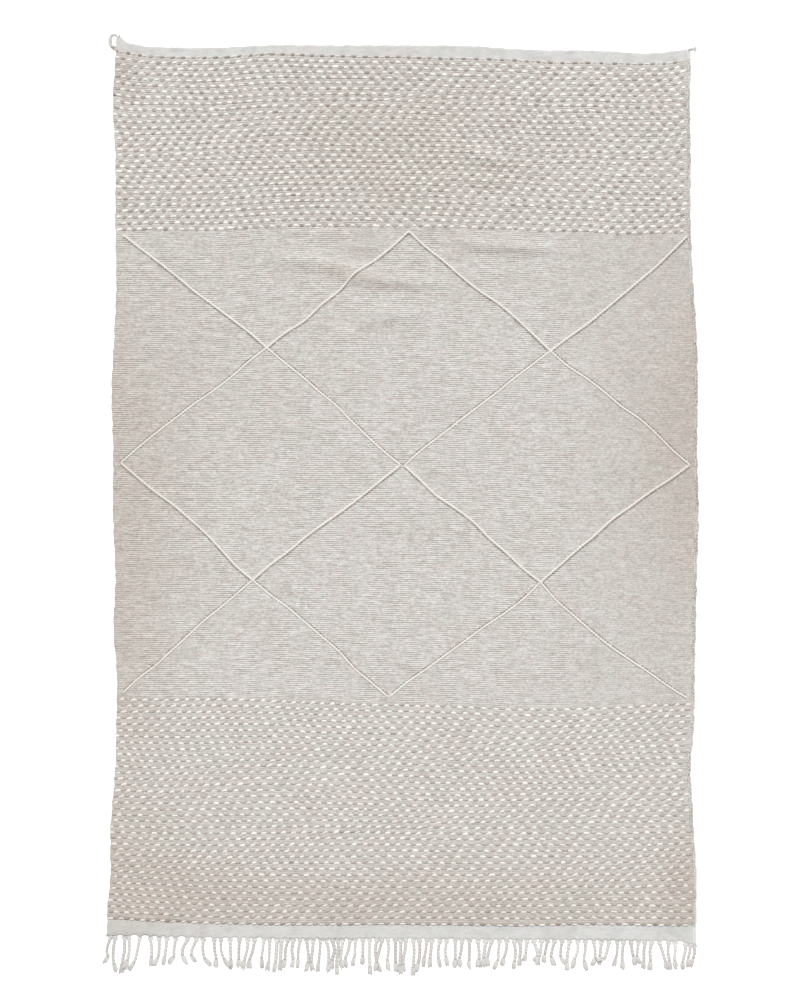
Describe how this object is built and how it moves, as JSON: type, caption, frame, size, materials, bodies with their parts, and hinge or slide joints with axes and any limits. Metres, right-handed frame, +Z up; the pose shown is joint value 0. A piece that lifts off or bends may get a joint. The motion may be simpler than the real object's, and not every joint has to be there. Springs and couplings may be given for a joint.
{
  "type": "kilim rug",
  "caption": "Flat-woven cream wool kilim rug with dashed bands, a raised diamond lattice, plain cotton end webs and a knotted fringe, lying flat.",
  "frame": {"origin": "on the floor, under the middle of the rectangle that holds the rug with its fringe and corner cords", "axes": "+X across the rug along the wefts, +Y along the warps towards the end without a fringe, +Z up out of the floor"},
  "size_m": [1.5617, 2.4648, 0.0094],
  "materials": {
    "cream_wool": "matt hand-spun wool, ribbed across the rug",
    "white_wool": "soft white wool yarn, for the dashes and raised lines",
    "taupe_wool": "grey-brown wool yarn, for the dark dashes",
    "warp_cotton": "matt white cotton, plain web and twisted warp ends"
  },
  "bodies": {
    "root": {"rug_cloth": "cream_wool", "fringe": "warp_cotton", "corner_loop": "warp_cotton", "corner_tassel": "warp_cotton"}
  },
  "joints": []
}
